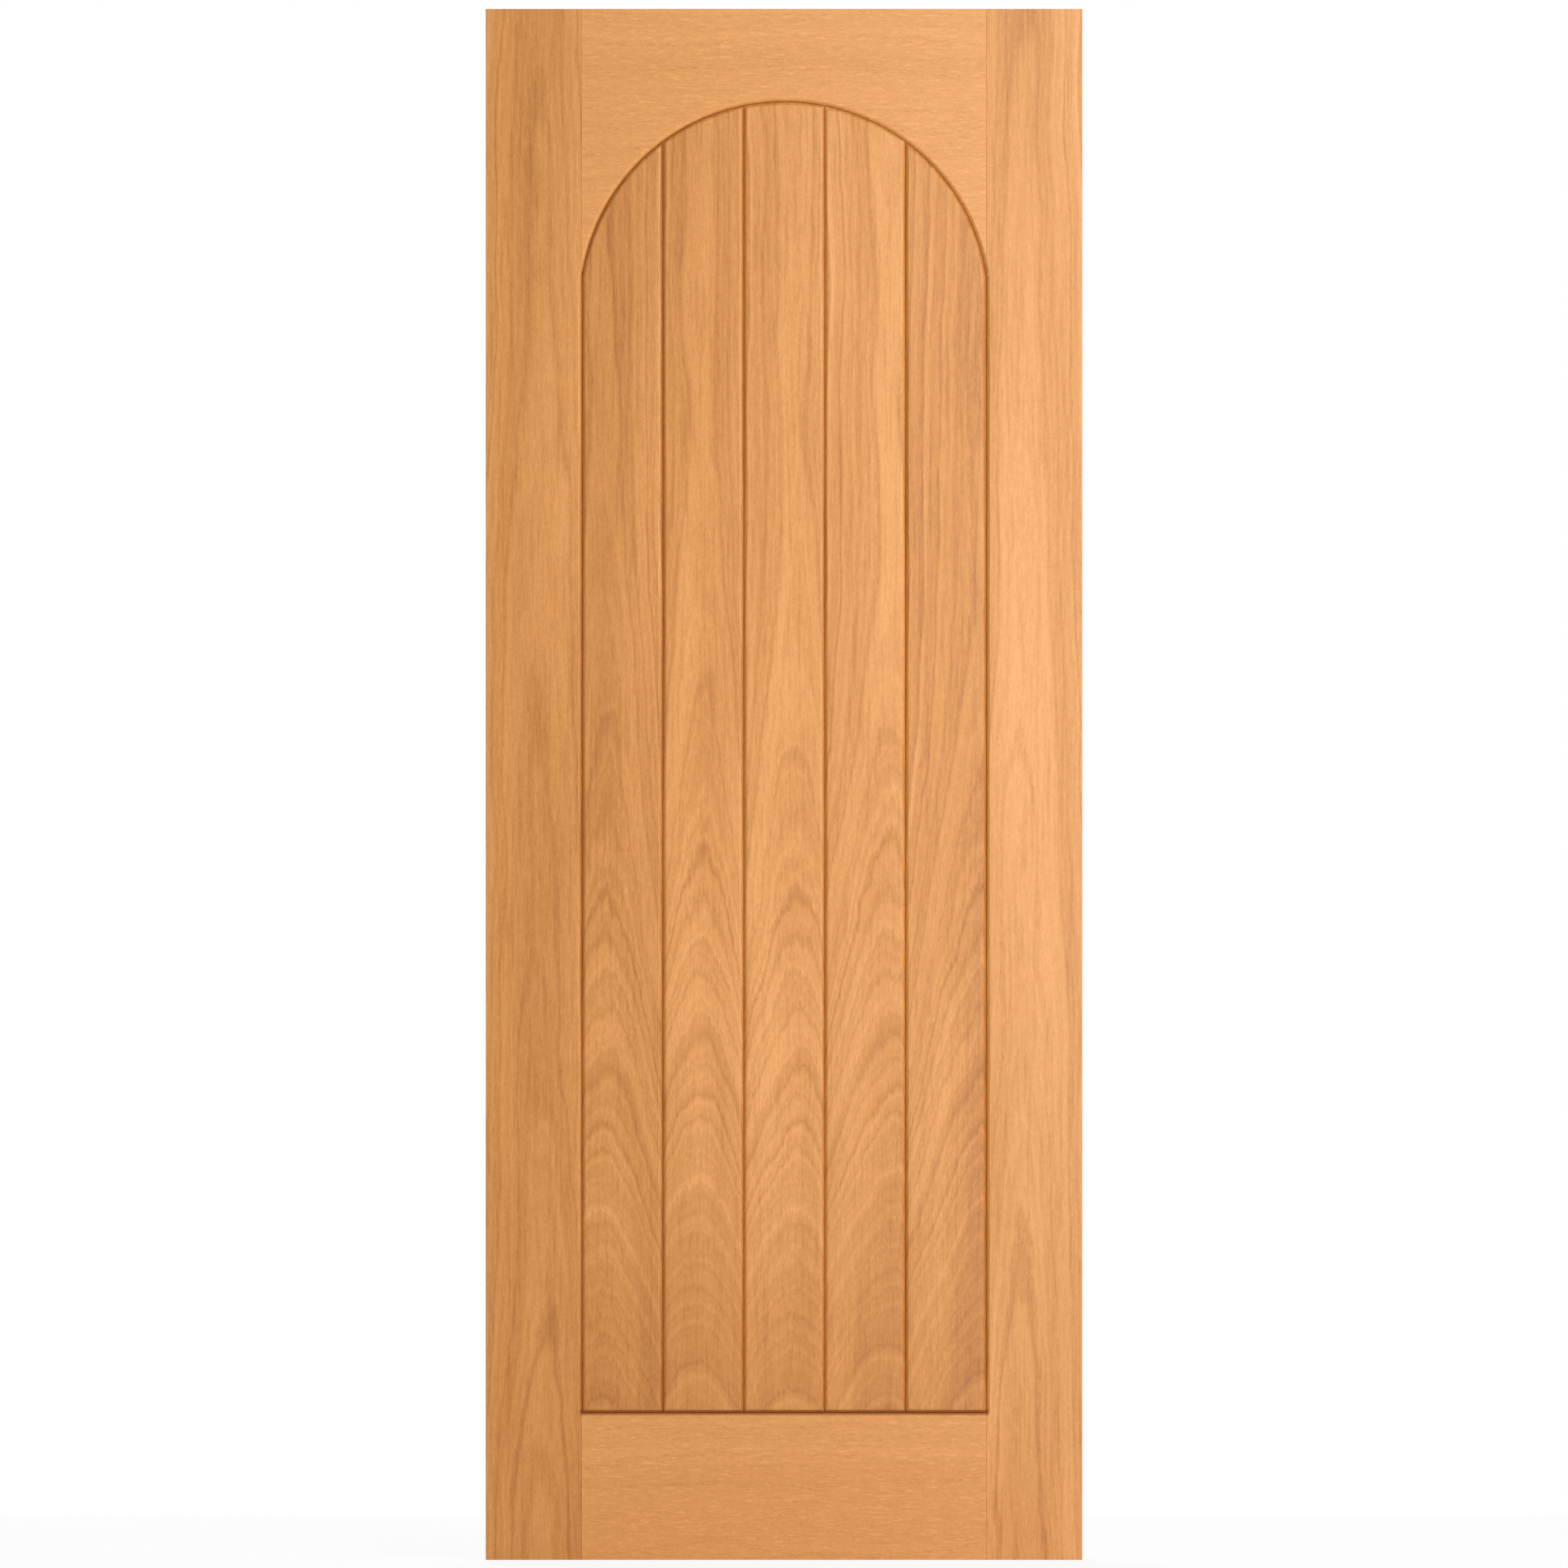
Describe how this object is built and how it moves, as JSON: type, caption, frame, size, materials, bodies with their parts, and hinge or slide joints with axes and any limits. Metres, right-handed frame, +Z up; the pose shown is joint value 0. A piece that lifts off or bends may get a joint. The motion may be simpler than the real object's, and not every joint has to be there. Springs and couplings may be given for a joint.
{
  "type": "arched panel door leaf",
  "caption": "Flush oak door leaf: stiles and rails around an arch-topped panel of vertical tongued-and-grooved boards with V joints, to be hung on its plain edge.",
  "frame": {"origin": "middle of the bottom edge of the leaf", "axes": "+X across the leaf from the hanging edge to the lock edge, +Y through the leaf from its front face to its back face, +Z up"},
  "size_m": [0.762, 0.035, 1.981],
  "materials": {
    "oak_frame": "satin",
    "oak_boards": "satin",
    "beech_dowels": "matte"
  },
  "bodies": {
    "root": {"hanging_stile": "oak_frame", "lock_stile": "oak_frame", "arched_top_rail": "oak_frame", "bottom_rail": "oak_frame", "board_1": "oak_boards", "board_2": "oak_boards", "board_3": "oak_boards", "board_4": "oak_boards", "board_5": "oak_boards", "top_hanging_dowels": "beech_dowels", "top_lock_dowels": "beech_dowels", "bottom_hanging_dowels": "beech_dowels", "bottom_lock_dowels": "beech_dowels"}
  },
  "joints": []
}
